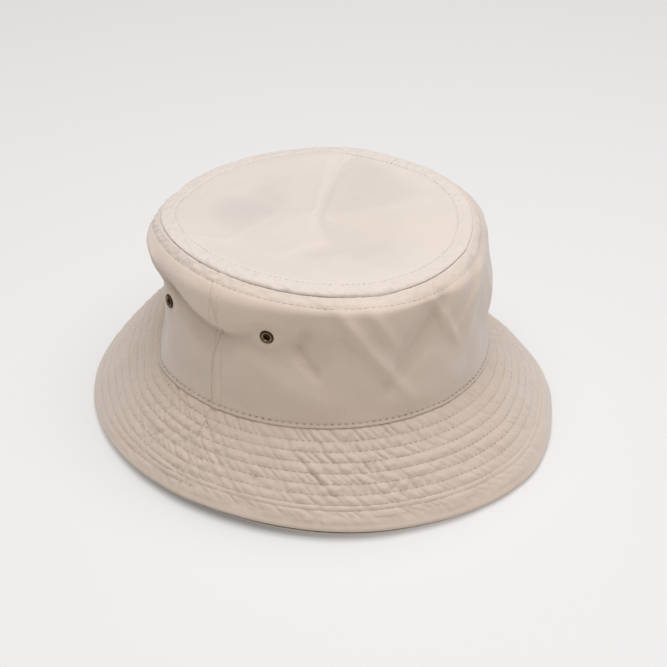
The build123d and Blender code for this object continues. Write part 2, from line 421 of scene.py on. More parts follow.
def crown_point(turn, up, inset=0.0):
    """Point, outward normal and relief on the crown side, up metres along the cloth from its bottom edge.
    The relief, in millimetres, is as the cloth's colour reads it for its worn ridges and its painted shade
    in valleys, less the tip seam's painted shade."""
    low = BASE.point(turn)
    seam = tip_seam(turn)
    level = BASE.outward(turn)
    high = Vector((low.x, low.y, 0)) - level * LEAN
    tight = hump(apart(turn, 240), 55)
    high.z = seam.z - bpy.context.scene.hat_cut.shoulder * (1 - 0.54 * tight)
    wall = SIDE - ROLL * (1 - 0.46 * tight)
    if up <= wall:
        point = mix(low, high, up / wall)
        normal = (level + UP * LEAN / wall).normalized()
    else:
        inward = Vector((seam.x - high.x, seam.y - high.y, 0))
        part = min(1.0, (up - wall) / (SIDE - wall))
        share = along_shoulder(inward.length, seam.z - high.z, part) if part < 1 else 1.0
        point = high + inward * share * share + UP * (seam.z - high.z) * share
        normal = (level * (seam.z - high.z) + UP * 2 * share * inward.length).normalized()
    clear = eyelet_clear(point)
    wear = bpy.context.scene.hat_wear
    relief = crown_relief(turn % 360, up / MM) * wear.crease * clear
    relief *= 1 - smooth(SIDE - 9 * MM, SIDE - 0.5 * MM, up)
    relief += crown_sewing(turn % 360, up / MM) * (inset == 0)
    flat = mix(PRESSED_BASE, PRESSED_WALL, smooth(0, 26, up / MM)) * (1 - smooth(50, 62, up / MM))
    point = point + pressed(point, flat) * clear
    # shade is the relief for the colour's worn ridges and painted valley shade, less the tip seam's painted
    # shade
    shade = max(LOWEST_SHADED_RELIEF, relief) - seam_shade(turn, (SIDE - up) / MM)
    return point + normal * (relief * MM - inset), normal, shade


def quilt(turn, share):
    """Quilting coordinate on the brim: a whole number on each row. The rows step out by one
    at the right temple, so that they make one spiral."""
    cut = bpy.context.scene.hat_cut
    step = smooth(140, 184, turn % 360)
    row = (share - cut.first_row) / cut.row_step
    last = cut.rows - 1
    free = (1 - smooth(last - 1.2, last, row)) * smooth(-0.5, 0.6, row)
    return row - step * free + (step if turn % 360 > 184 else 0)


def nearest_row(row):
    """The quilting row nearest to a quilting coordinate."""
    return min(bpy.context.scene.hat_cut.rows - 1, max(0, round(row)))


def pucker_strength(turn):
    """How hard the brim is puckered round its turn: most at the front of the right temple."""
    return 0.27 + 0.78 * hump(apart(turn, 226), 26) + 0.8 * hump(apart(turn, 172), 18)


def ridged(place):
    """Noise with sharp ridges, from about -1 to 1."""
    return 1 - 4 * abs(noise.noise(place))


def brim_relief(turn, share, under):
    """How far the cloth stands off the plain brim, in metres, on its outer or under face."""
    wear = bpy.context.scene.hat_wear
    row = quilt(turn, share)
    puff = min(1.0, 2 * abs(row - nearest_row(row))) ** 0.7
    margin = smooth(0.90, 0.95, share)
    across = share * BRIM_WIDTH / MM
    around = turn * BRIM_DEGREE
    seed = 40.0 if under else 0.0
    slant = around - across * 0.85
    fold = ridged(Vector((slant / 7.5, across / 22, seed)))
    fold += 0.6 * noise.noise(Vector((slant / 3.0, row * 1.1, seed + 5)))
    cross = noise.noise(Vector(((around + across * 0.9) / 4.2, row * 0.7, seed + 9)))
    tuck = noise.noise(Vector((around / 2.3, round(row), seed + 3))) * (1 - puff)
    soft = noise.noise(Vector((around / 17, across / 11, seed + 11)))
    strength = pucker_strength(turn % 360) * (1 - 0.8 * margin) * smooth(0, 0.05, share)
    strength *= 1.1 - 0.7 * smooth(0.55, 0.85, share)
    band = math.floor(row)
    zig = 1 if band % 2 else -1
    ripple = ridged(Vector(((around - across * 0.5 + zig * (row % 1) * 2.6) / 4.4, band * 1.7, seed + 21)))
    relief = wear.puff * puff * (1 - 0.6 * margin) * (0.8 + 0.6 * soft)
    relief += wear.pucker * strength * (fold * 0.42 + cross * 0.6) * (0.35 + 0.65 * puff)
    relief += 0.62 * MM * (0.2 + strength) * (1 - 0.8 * margin) * ripple * puff
    relief += 0.35 * MM * tuck * (0.5 + strength)
    relief += 0.8 * MM * soft * smooth(0.05, 0.3, share) * (1 - 0.7 * margin)
    aside = (turn % 360 - 215) * BRIM_DEGREE - (across - 28) * 0.85
    reach = smooth(12, 20, across) * (1 - smooth(34, 44, across))
    relief -= 1.1 * MM * (hump(aside, 1.8) - 0.7 * hump(aside - 3.6, 2.4)) * reach
    return relief * (0.6 if under else 1.0)


def hem_shift(turn):
    """How far the hem has been pushed out of its oval, in millimetres."""
    shift = 1.9 * hump(apart(turn, 277), 12) + 1.7 * hump(apart(turn, 319), 14)
    shift -= 1.6 * hump(apart(turn, 196), 17)
    shift -= 0.7 * hump(apart(turn, 168), 16) + 0.7 * hump(apart(turn, 218), 14)
    return shift - 1.7 * hump(apart(turn, 241), 15) - 3.0 * hump(apart(turn, 83), 14)


def brim_point(turn, share, depth=0.0, under=False, relief_share=1.0):
    """Point, outward normal and relief in millimetres on the brim, depth below its outer face."""
    inner = BASE.point(turn)
    level = BASE.outward(turn)
    outer = HEM.point(turn) + level * hem_shift(turn) * MM
    outer.z = HEM_LOWEST + HEM_SOFT * math.log1p(math.exp((outer.z - HEM_LOWEST) / HEM_SOFT))
    inner = inner + pressed(inner, PRESSED_BASE) - level * TUCKED_UNDER
    slope = outer - inner
    run = Vector((slope.x, slope.y, 0)).length
    normal = (level * -slope.z + UP * run).normalized()
    bow = BRIM_BOW * math.sin(math.pi * min(1.0, max(0.0, share)))
    point = inner + slope * share + normal * bow
    relief = brim_relief(turn, share, under) * relief_share
    return point + normal * (relief - depth), normal, relief / MM


# The tip's creases, in millimetres from the middle: start, end, height, width and sideways step
TIP_CREASES = (
    ((-1, -1), (76, 41), 1.9, 5.0, 1.1),
    ((-1, -1), (-24, -20), 0.8, 6.0, -0.7),
    ((-24, -20), (-48, -10), 0.8, 5.0, -0.5),
    ((-46, 16), (-6, 17), 0.35, 4.0, 0.3),
    ((-6, 17), (0, 55), 0.35, 4.0, 0.3),
    ((-1, -1), (46, -42), 0.45, 5.0, 0.3),
    ((-61, 30), (-50, 15), 0.3, 3.0, 0.3),
)


def tip_relief(x, y, inside):
    """Relief of the oval tip, in millimetres. inside is the distance in from its seam."""
    place = Vector((x, y, 0)) / MM
    relief = -1.6 + 1.6 * (1 - smooth(0, 45, inside))
    relief += 1.1 * noise.noise(place / 42 + Vector((3, 1, 0))) + 0.25 * noise.noise(place / 14)
    for start, end, height, width, cliff in TIP_CREASES:
        first = Vector((*start, 0))
        along = Vector((*end, 0)) - first
        offset = place - first
        share = offset.dot(along) / along.length_squared
        if -0.4 < share < 1.4:
            side = (along.x * offset.y - along.y * offset.x) / along.length
            ends = smooth(-0.3, 0.2, share) * (1 - smooth(0.85, 1.25, share))
            spread = width * (0.6 + 0.8 * min(1.0, max(0.0, share)))
            step = math.tanh(side / spread) * hump(side, 5 * spread)
            relief += height * ends * (hump(side, spread) + cliff * step)
    return relief * smooth(2, 16, inside)


def tip_point(turn, share, inset=0.0):
    """Point, normal and relief, as crown_point gives them, on the tip, at a share of the way out from its
    middle to its seam."""
    cut = bpy.context.scene.hat_cut
    seam = tip_seam(turn)
    middle = Vector((SEAM.centre[0], SEAM.centre[1], SEAM.height + 0.6 * MM))
    flat = mix(middle, seam, share)
    inside = tip_radius(turn) * (1 - share) / MM
    margin = cut.tip_margin / MM
    relief = tip_relief(flat.x, flat.y, inside) * bpy.context.scene.hat_wear.crease
    near_front = hump(apart(turn, 215), 60) * (1 - smooth(12, 44, inside))
    relief += (0.4 + 1.6 * near_front) * (1 - (1 - min(1.0, inside / 9)) ** 2)
    if inset == 0:
        tucks = band_tucks(turn + 400, inside)
        band = smooth(0, 1.2, inside) * (1 - smooth(margin - 1.0, margin + 0.5, inside))
        relief += 0.34 * band * (0.4 + 2.0 * tucks) - 0.45 * hump(inside - margin, 0.8)
        relief -= (0.3 + 1.2 * hump(apart(turn, 213), 36)) * hump(inside, 0.5)
    # shade is the relief for the colour's worn ridges and painted valley shade, less the tip seam's painted
    # shade
    shade = max(LOWEST_SHADED_RELIEF, relief) - seam_shade(turn, inside)
    return flat + UP * (relief * MM - inset), UP, shade


# Making pieces

# How much of its pitch a stitch shows before it goes back into the cloth
STITCH_FILL = 0.74

# Width of cloth that one unit of the sewing pattern's row coordinate covers at a single stitch row
ROW_SPAN = 6 * MM


def finish_piece(mesh, name, material):
    """Puts a mesh in the scene as a smooth piece that rides on the hat."""
    piece = bpy.data.objects.new(name, mesh)
    bpy.context.scene.collection.objects.link(piece)
    mesh.materials.append(material)
    for polygon in mesh.polygons:
        polygon.use_smooth = True
    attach(piece, "root")
    return piece


def cloth_panel(name, columns, rows, place, pattern, holes=False, pole=False):
    """A panel of cloth from a flat grid. place gives the point, normal and relief at a share across and
    up the grid, and pattern gives the two UV maps there."""
    bm = bmesh.new()
    bmesh.ops.create_grid(bm, x_segments=columns, y_segments=rows, size=0.5)
    cloth = bm.loops.layers.uv.new("cloth")
    sewing = bm.loops.layers.uv.new("sewing")
    # The ridge attribute holds the relief that the colour reads for worn ridges and painted shade in
    # valleys, with the tip seam's painted shade as extra depth
    ridge = bm.verts.layers.float.new("ridge")
    flat = {vertex: (vertex.co.x + 0.5, vertex.co.y + 0.5) for vertex in bm.verts}
    for face in bm.faces:
        for loop in face.loops:
            loop[cloth].uv, loop[sewing].uv = pattern(*flat[loop.vert])
    for vertex, (across, up) in flat.items():
        point, normal, relief = place(across, up)
        vertex.co = point
        vertex[ridge] = relief
    if holes:
        centres = [centre for centre, facing in EYELET_CENTRES.values()]
        cut = [
            face for face in bm.faces
            if min((face.calc_center_median() - centre).length for centre in centres) < 2.7 * MM
        ]
        bmesh.ops.delete(bm, geom=cut, context="FACES")
    if pole:
        bmesh.ops.remove_doubles(bm, verts=bm.verts, dist=0.01 * MM)
    mesh = bpy.data.meshes.new(name)
    bm.to_mesh(mesh)
    bm.free()
    return mesh


def brim_cut():
    """The flat piece that half a brim is cut from, an arc: its width, its height and its area."""
    narrow, wide = BASE.girth() / 2, HEM.girth() / 2
    angle = (wide - narrow) / BRIM_WIDTH
    outer, inner = wide / angle, narrow / angle
    size = (2 * outer * math.sin(angle / 2), outer - inner * math.cos(angle / 2))
    return size, (outer * outer - inner * inner) * angle / 2


def cloth_piece(node, grid, place, pattern, look, slot, thickness, holes=False, pole=False, under=False):
    """A panel of cloth in place of a node of the frame, from a grid of columns and rows. It gets its
    thickness inwards from its outer face, which looks down on an under piece."""
    name = node + "_cloth"
    mesh = cloth_panel(name, *grid, place, pattern, holes, pole)
    if under:
        mesh.flip_normals()
    piece = finish_piece(mesh, name, hat_material(look))
    solidify = piece.modifiers.new("thickness", "SOLIDIFY")
    solidify.thickness = thickness
    solidify.offset = -1
    solidify.use_rim = True
    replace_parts(piece, node)
    return piece


def half_turn(side, across, up=0.0):
    """The turn at a share of the way along the front or back half, at a height in metres."""
    bend = seam_bend(up / MM) * (1 - 2 * across)
    return 180 + 180 * across + bend if side == "front" else 180 * across - bend


def row_seen(row):
    """The row coordinate of a single stitch row, which is set aside where it is far from the row."""
    return row if abs(row) < 0.45 else 0.5


def graded(share, edge):
    """A share of the way along a grid, with its lines drawn together near both edges."""
    if share > 0.5:
        return 1 - graded(1 - share, edge)
    return (share * share / (2 * edge) if share < edge else share - edge / 2) / (1 - edge)


def stitch_shape():
    """One stitch, a unit long: a rounded bead of a few dozen faces."""
    bm = bmesh.new()
    bmesh.ops.create_uvsphere(bm, u_segments=6, v_segments=5, radius=0.5)
    bmesh.ops.rotate(bm, verts=bm.verts, matrix=Matrix.Rotation(math.pi / 2, 3, "Y"))
    mesh = bpy.data.meshes.new("stitch")
    bm.to_mesh(mesh)
    bm.free()
    return mesh


def sew(node, routes, width=0.42 * MM, height=0.36 * MM, lift=0.06 * MM):
    """Rows of stitches in place of a thread of the frame. Each route is a function from a share of its
    length to a point and the cloth's normal there, with its number of stitches."""
    shape = stitch_shape()
    bm = bmesh.new()
    for route, count in routes:
        for index in range(count):
            start = route((index + 0.5 - STITCH_FILL / 2) / count)[0]
            end, normal = route((index + 0.5 + STITCH_FILL / 2) / count)
            along = end - start
            side = normal.cross(along).normalized()
            normal = along.cross(side).normalized()
            axes = Matrix((along, side * width, normal * height)).transposed().to_4x4()
            stitch = shape.copy()
            stitch.transform(Matrix.Translation((start + end) / 2 + normal * lift) @ axes)
            bm.from_mesh(stitch)
            bpy.data.meshes.remove(stitch)
    name = node + "_stitches"
    mesh = bpy.data.meshes.new(name)
    bm.to_mesh(mesh)
    bm.free()
    bpy.data.meshes.remove(shape)
    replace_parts(finish_piece(mesh, name, hat_material("twisted_thread")), node)


# Materials

# The twill: from one diagonal rib to the next, and from one yarn to the next each way
TWILL_PITCH = 1.0 * MM
WARP_PITCH = 0.42 * MM
WEFT_PITCH = 0.46 * MM


class Shade:
    """A value in a material, on which Python's operators build the material's maths."""

    def __init__(self, nodes, socket):
        self.nodes, self.socket = nodes, socket

    def maths(self, operation, *others):
        """A Math node on this value and others."""
        return self.nodes.add("ShaderNodeMath", {"operation": operation}, dict(enumerate((self, *others))))

    def __add__(self, other):
        return self.maths("ADD", other)

    def __radd__(self, other):
        return self.maths("ADD", other)

    def __sub__(self, other):
        return self.maths("SUBTRACT", other)

    def __rsub__(self, other):
        return (self * -1) + other

    def __mul__(self, other):
        return self.maths("MULTIPLY", other)

    def __truediv__(self, other):
        return self.maths("DIVIDE", other)

    def sine(self):
        """Its sine."""
        return self.maths("SINE")

    def size(self):
        """Its size without its sign."""
        return self.maths("ABSOLUTE")

    def fraction(self):
        """What is left of it above a whole number."""
        return self.maths("FRACT")

    def between(self, low, high):
        """0 below low, 1 above high, and a smooth rise between."""
        ranged = {"Value": self, "From Min": low, "From Max": high}
        return self.nodes.add("ShaderNodeMapRange", {"interpolation_type": "SMOOTHSTEP"}, ranged)


class Nodes:
    """The nodes of one material."""

    def __init__(self, name):
        self.material = bpy.data.materials.new(name)
        self.material.use_nodes = True
        self.tree = self.material.node_tree
        self.tree.nodes.clear()

    def add(self, kind, settings=None, inputs=None, output=0):
        """A node with its settings, then the values or links of its sockets. Gives one output."""
        node = self.tree.nodes.new(kind)
        for setting, value in (settings or {}).items():
            setattr(node, setting, value)
        for socket, value in (inputs or {}).items():
            if isinstance(value, Shade):
                self.tree.links.new(value.socket, node.inputs[socket])
            else:
                node.inputs[socket].default_value = value
        return Shade(self, node.outputs[output]) if node.outputs else node

    def uv(self, name):
        """The two directions of one of the piece's UV maps."""
        place = self.add("ShaderNodeUVMap", {"uv_map": name})
        return place, self.part(place, 0), self.part(place, 1)

    def part(self, vector, axis):
        """One axis of a vector."""
        return self.add("ShaderNodeSeparateXYZ", None, {"Vector": vector}, axis)

    def stretched(self, vector, scale):
        """A vector scaled along each axis."""
        return self.add("ShaderNodeMapping", None, {"Vector": vector, "Scale": scale})

    def noise(self, vector, scale, detail=2.0):
        """Soft noise, centred on 0."""
        inputs = {"Vector": vector, "Scale": scale, "Detail": detail}
        return self.add("ShaderNodeTexNoise", None, inputs) - 0.5

    def blend(self, factor, first, second):
        """Two colours, mixed by a value."""
        kind = {"data_type": "RGBA"}
        return self.add("ShaderNodeMix", kind, {"Factor": factor, "A": first, "B": second}, 2)

    def finish(self, inputs):
        """The surface shader and the material's output."""
        shader = self.add("ShaderNodeBsdfPrincipled", None, inputs)
        self.add("ShaderNodeOutputMaterial", None, {"Surface": shader})
        return self.material


def tinted(base, factor):
    """A colour made lighter or darker, with alpha."""
    return (*(min(1.0, channel * factor) for channel in base), 1.0)


def cloth_material(name, base, painted_top_light, holes, ribbing):
    """Cotton twill: diagonal ribs, yarns, slubs, uneven dye, pale worn ridges, painted shade in the needle
    holes, stitch grooves, valleys and the tip's seam, and a paler colour on the crown's shoulder as painted
    top light. holes and ribbing say how strongly the needle holes' painted shade and the ribs show."""
    nodes = Nodes(name)
    place, u, v = nodes.uv("cloth")
    wander = nodes.noise(place, 260, 3) * 0.0006
    rib = 2 * math.pi / (TWILL_PITCH * math.sqrt(2))
    ribs = ((u + v + wander) * rib).sine() * 0.3 + ((u - v + wander) * rib).sine() * 0.2 + 0.5
    warp = (u * (2 * math.pi / WARP_PITCH)).sine()
    weft = (v * (2 * math.pi / WEFT_PITCH)).sine()
    yarns = warp * weft * 0.5 + 0.5
    slub = nodes.noise(nodes.stretched(place, (70, 900, 1)), 1.0, 3)
    slub_up = nodes.noise(nodes.stretched(place, (1100, 60, 1)), 1.0, 3)
    fuzz = nodes.noise(place, 2400, 4)
    dye = nodes.noise(place, 22, 3)
    # ridge is the relief that the colour reads, with the tip seam's painted shade as extra depth
    ridge = nodes.add("ShaderNodeAttribute", {"attribute_name": "ridge"}, None, 2)
    worn = ridge.between(0.2, 2.2) * 0.10
    # Painted shade: the cloth is darker where its relief sinks into a valley or crease
    painted_valley_shade = ridge.between(-0.1, LOWEST_SHADED_RELIEF) * 0.30
    # Painted shade along the tip's seam, read from its extra depth
    painted_ditch_shade = ridge.between(-1.8, -4.0) * (nodes.noise(place, 90, 2) * 1.4 + 0.7)
    tone = (ribs - 0.5) * ribbing + yarns * 0.12 + slub * 0.34 + slub_up * 0.26 + fuzz * 0.14
    tone = tone + dye * 0.35 + 0.49 + worn - painted_valley_shade
    # Painted top light: near the top of the shoulder the wall blends towards the paler top colour
    shoulder = v.between(SIDE - 9 * MM, SIDE - 3 * MM) * 0.45
    deep = nodes.blend(shoulder, tinted(base, 0.86), tinted(painted_top_light, 0.86))
    pale = nodes.blend(shoulder, tinted(base, 1.12), tinted(painted_top_light, 1.12))
    surface = nodes.blend(tone, deep, pale)
    warm = (base[0] * 1.03, base[1] * 0.99, base[2] * 0.95, 1.0)
    surface = nodes.blend(nodes.noise(place, 9, 2).between(-0.1, 0.35) * 0.35, surface, warm)
    height = ribs * 0.6 + yarns * 0.4 + slub * 0.5 + fuzz * 0.3
    shadow = (base[0] * 0.27, base[1] * 0.20, base[2] * 0.15, 1.0)
    # Painted shade: the needle holes, each stitch row's groove and the tip's seam are darkened towards the
    # shadow colour
    stitch_at, row = nodes.uv("sewing")[1:]
    near = (row.fraction() - 0.5).size() * -1 + 0.5
    needle = ((stitch_at.fraction() - 0.5).size() * -1 + 0.5).between(0.30, 0.10)
    pierced = needle * near.between(0.10, 0.03)
    groove = near.between(0.22, 0.0)
    dark = pierced * (nodes.noise(place, 55, 3) * 1.6 + holes) + groove * 0.05 + painted_ditch_shade
    surface = nodes.blend(dark, surface, shadow)
    height = height - pierced * 3 - groove * 0.5
    bump = nodes.add("ShaderNodeBump", None, {"Strength": 0.4, "Distance": 0.12 * MM, "Height": height})
    return nodes.finish({
        "Base Color": surface,
        "Roughness": 0.92 - ribs * 0.06,
        "Normal": bump,
        "Sheen Weight": 0.5,
        "Sheen Roughness": 0.6,
        "Specular IOR Level": 0.25,
    })


def plain_material(name, base, pitch, gloss=0.85, sheen=0.2):
    """A plain weave for bands, tapes and the stiffener."""
    nodes = Nodes(name)
    place, u, v = nodes.uv("cloth")
    warp = (u * (2 * math.pi / pitch)).sine()
    weft = (v * (2 * math.pi / pitch)).sine()
    weave = warp * weft * 0.5 + 0.5
    slub = nodes.noise(nodes.stretched(place, (80, 700, 1)), 1.0, 3)
    dye = nodes.noise(place, 30, 2)
    tone = weave * 0.3 + slub * 0.3 + dye * 0.35 + 0.38
    relief = {"Strength": 0.3, "Distance": 0.1 * MM, "Height": weave + slub}
    bump = nodes.add("ShaderNodeBump", None, relief)
    return nodes.finish({
        "Base Color": nodes.blend(tone, tinted(base, 0.85), tinted(base, 1.12)),
        "Roughness": gloss - weave * 0.05,
        "Normal": bump,
        "Sheen Weight": sheen,
        "Specular IOR Level": 0.25,
    })


def thread_material(base):
    """Twisted polyester thread."""
    nodes = Nodes("twisted_thread")
    place = nodes.add("ShaderNodeTexCoord", None, None, 3)
    ply = nodes.noise(nodes.stretched(place, (1, 1, 1.6)), 2600, 2)
    dye = nodes.noise(place, 60, 2)
    bump = nodes.add("ShaderNodeBump", None, {"Strength": 0.5, "Distance": 0.08 * MM, "Height": ply})
    return nodes.finish({
        "Base Color": nodes.blend(ply * 1.2 + dye * 0.4 + 0.5, tinted(base, 0.78), tinted(base, 1.16)),
        "Roughness": 0.55 + ply * 0.2,
        "Normal": bump,
        "Sheen Weight": 0.15,
    })


def brass_material(place, colours):
    """Antique brass for one eyelet: dark on the flange, worn bright round the hole."""
    centre, facing = EYELET_CENTRES[place]
    nodes = Nodes("antique_brass_" + place)
    here = nodes.add("ShaderNodeTexCoord", None, None, 3)
    offset = nodes.add("ShaderNodeVectorMath", {"operation": "SUBTRACT"}, {0: here, 1: centre})
    across = nodes.add("ShaderNodeVectorMath", {"operation": "CROSS_PRODUCT"}, {0: offset, 1: facing})
    radius = nodes.add("ShaderNodeVectorMath", {"operation": "LENGTH"}, {0: across}, 1) / MM
    scuffs = nodes.noise(here, 1400, 4)
    stain = nodes.noise(here, 420, 3)
    bright = radius.between(2.9, 2.3) * 0.6 + scuffs * 0.5 + stain * 0.3 + 0.03
    bump = nodes.add("ShaderNodeBump", None, {"Strength": 0.25, "Distance": 0.08 * MM, "Height": scuffs})
    return nodes.finish({
        "Base Color": nodes.blend(bright, (*colours.patina, 1), (*colours.brass, 1)),
        "Metallic": 1.0,
        "Roughness": 0.46 - scuffs * 0.3 + stain * 0.2,
        "Normal": bump,
    })


def table_material(base):
    """Smooth pale table top, which glows softly as if lit from below, except under the hat: painted light
    that lifts the shade round the hat.
    """
    nodes = Nodes("pale_table")
    place = nodes.add("ShaderNodeTexCoord", None, None, 3)
    cloud = nodes.noise(place, 1.2, 2) * 0.3 + 0.5
    glow_mask = nodes.add("ShaderNodeVectorMath", {"operation": "LENGTH"}, {0: place}, 1).between(0.10, 0.125)
    return nodes.finish({
        "Base Color": nodes.blend(cloud, tinted(base, 0.985), tinted(base, 1.0)),
        "Roughness": 0.75,
        "Specular IOR Level": 0.2,
        # Painted light: the table's glow, kept off the floor under the hat
        "Emission Color": nodes.blend(glow_mask, (0.0, 0.0, 0.0, 1.0), (1.0, 0.99, 0.975, 1.0)),
        "Emission Strength": 0.32,
    })


def hat_material(name):
    """A material that several pieces share, made once."""
    if name in bpy.data.materials:
        return bpy.data.materials[name]
    colours = bpy.context.scene.hat_colours
    # In each twill the fourth number sets how dark the painted shade in the needle holes is
    makers = {
        # The tip's twill takes the paler painted top light colour all over
        "tip_twill": lambda: cloth_material(name, colours.painted_top_light, colours.painted_top_light, 0.3, 0.22),
        "wall_twill": lambda: cloth_material(name, colours.cloth, colours.painted_top_light, 0.5, 0.72),
        "brim_twill": lambda: cloth_material(name, colours.cloth, colours.cloth, 0.28, 0.62),
        "stiffener": lambda: plain_material(name, colours.stiffener, 0.9 * MM),
        "band_cotton": lambda: plain_material(name, colours.lining, 0.7 * MM),
        "tape_cotton": lambda: plain_material(name, colours.lining, 0.5 * MM),
        "tab_satin": lambda: plain_material(name, colours.tab, 0.3 * MM, 0.45, 0.4),
        "twisted_thread": lambda: thread_material(colours.thread),
    }
    return makers[name]()


# Operators

class HatTip(bpy.types.Operator):
    """Make the oval tip."""

    bl_idname = "hat.tip"
    bl_label = "Crown tip"

    def execute(self, context):
        cut = context.scene.hat_cut
        count = round(SEAM.girth() / cut.stitch)

        def inwards(up):
            """Share of the way in from the seam, with the grid's lines drawn together at the seam."""
            return (1 - up) ** 1.6

        def place(across, up):
            return tip_point(360 * across, 1 - inwards(up))

        def pattern(across, up):
            point = place(across, up)[0]
            row = (tip_radius(360 * across) * inwards(up) - cut.tip_margin) / ROW_SPAN
            return (point.x, point.y), (across * count, row_seen(row))

        piece = cloth_piece(
            "crown_tip", (400, 110), place, pattern, "tip_twill", "cotton_twill", cut.panel, pole=True
        )
        return {"FINISHED"}


class HatCrown(bpy.types.Operator):
    """Make the two halves of the crown side."""

    bl_idname = "hat.crown"
    bl_label = "Crown side"

    def execute(self, context):
        cut = context.scene.hat_cut
        count = round(BASE.girth() / cut.base_stitch)
        for side in SIDES:
            def place(across, up, side=side):
                up = SIDE * graded(up, 0.04)
                return crown_point(half_turn(side, graded(across, 0.02), up), up)

            def pattern(across, up, side=side):
                across, up = graded(across, 0.02), SIDE * graded(up, 0.04)
                turn = half_turn(side, across, up)
                row = (up - cut.topstitch) / ROW_SPAN
                return (BASE.girth() * across / 2, up), (turn / 360 * count, row_seen(row))

            piece = cloth_piece(
                "crown_side_" + side, (340, 100), place, pattern, "wall_twill", "cotton_twill", cut.panel,
                holes=True,
            )
        return {"FINISHED"}


def row_stitches(context, row):
    """Number of stitches in a quilting row."""
    cut = context.scene.hat_cut
    share = cut.first_row + row * cut.row_step
    return round(mix(BASE.girth(), HEM.girth(), share) / cut.stitch)


class HatBrim(bpy.types.Operator):
    """Make the brim's covers and its stiffener."""

    bl_idname = "hat.brim"
    bl_label = "Quilted brim"

    def execute(self, context):
        cut = context.scene.hat_cut
        first, last = row_stitches(context, 0), row_stitches(context, cut.rows - 1)
        size, area = brim_cut()

        def edge_turn(share):
            """How far the cover has turned down at its edge."""
            out = max(0.0, 1 - (1 - share) * BRIM_WIDTH / EDGE_RADIUS)
            return EDGE_RADIUS * (1 - math.sqrt(max(0.0, 1 - out * out)))

        def cover(side, under):
            def place(across, up):
                turn, share = half_turn(side, across), up * 1.02 - 0.02
                if under:
                    depth = cut.stack - edge_turn(share) * 0.9
                    peek = 1.004 + 0.018 * hump(apart(turn, 212), 34)
                    return brim_point(turn, share * peek, depth, True, -0.7)
                return brim_point(turn, share, edge_turn(share))

            def pattern(across, up):
                turn, share = half_turn(side, across), up * 1.02 - 0.02
                row = quilt(turn, share)
                count = mix(first, last, nearest_row(row) / (cut.rows - 1))
                seen = row if row < cut.rows - 0.6 else cut.rows - 0.5
                around = BASE.girth() * across / 2 * BRIM_SPREAD
                return (around, share * BRIM_WIDTH), (turn / 360 * count, seen)

            node = "brim_" + ("lower_" if under else "upper_") + side
            piece = cloth_piece(
                node, (500, 96), place, pattern, "brim_twill", "cotton_twill", cut.cover, under=under
            )
            "brim_interlining_" + side

        for side in SIDES:
            cover(side, False)
            cover(side, True)

            def core(across, up, side=side):
                return brim_point(half_turn(side, across), up * CORE_SHARE, CORE_DEPTH, False, 0.5)

            def core_pattern(across, up):
                return (BASE.girth() * across / 2, up * BRIM_WIDTH), (0.5, 0.5)

            node = "brim_interlining_" + side
            piece = cloth_piece(
                node, (200, 40), core, core_pattern, "stiffener", "interlining", CORE_THICKNESS
            )
            area * CORE_SHARE
        return {"FINISHED"}


class HatInside(bpy.types.Operator):
    """Make the sweatband, the tapes over the seams and the size tab."""

    bl_idname = "hat.inside"
    bl_label = "Inside bands and tapes"

    def execute(self, context):
        cut = context.scene.hat_cut

        def band(across, up):
            turn = 360 * across
            point, normal, relief = crown_point(turn, (up - 0.07) * cut.band, 2.0 * MM)
            fullness = 0.5 * MM * noise.noise(Vector((turn * 0.16, up * 2, 30)))
            rolled = 0.5 * MM * (hump(up - 1, 0.05) + hump(up, 0.05))
            return point - normal * (fullness * math.sin(math.pi * up) - rolled), normal, 0.0

        def band_pattern(across, up):
            return (BASE.girth() * across, up * cut.band), (0.5, 0.5)

        cotton = ("band_cotton", "sweatband_cotton", 1.0 * MM)
        piece = cloth_piece("sweatband", (360, 26), band, band_pattern, *cotton, pole=True)

        def tip_tape(across, up):
            turn = 360 * across
            if up < 0.5:
                share = 1 - (0.5 - up) * TAPE_WIDTH / SEAM.half_width
                return tip_point(turn, share, cut.panel + TAPE_GAP)
            return crown_point(turn, SIDE - (up - 0.5) * TAPE_WIDTH, cut.panel + TAPE_GAP)

        def tape_pattern(across, up):
            return (SEAM.girth() * across, up * TAPE_WIDTH), (0.5, 0.5)

        tape = ("tape_cotton", "seam_tape", TAPE_THICKNESS)
        piece = cloth_piece("tip_seam_tape", (300, 14), tip_tape, tape_pattern, *tape, pole=True)

        for side, middle in (("left", 0), ("right", 180)):
            def side_tape(across, up, middle=middle):
                turn = middle + (across - 0.5) * 8.6
                return crown_point(turn, mix(cut.band, WALL, up), cut.panel + TAPE_GAP)

            def side_pattern(across, up):
                return (across * TAPE_WIDTH, up * (WALL - cut.band)), (0.5, 0.5)

            piece = cloth_piece("side_seam_tape_" + side, (14, 40), side_tape, side_pattern, *tape)

        def tab(across, up):
            turn = 90 + (across - 0.5) * 10.8
            curl = 1.2 * MM * up * up
            return crown_point(turn, 4 * MM + TAB_HEIGHT * up, 3.4 * MM + curl)

        def tab_pattern(across, up):
            return (across * TAB_WIDTH, up * TAB_HEIGHT), (0.5, 0.5)

        piece = cloth_piece("size_tab", (24, 24), tab, tab_pattern, "tab_satin", "tab_satin", 0.35 * MM)
        return {"FINISHED"}


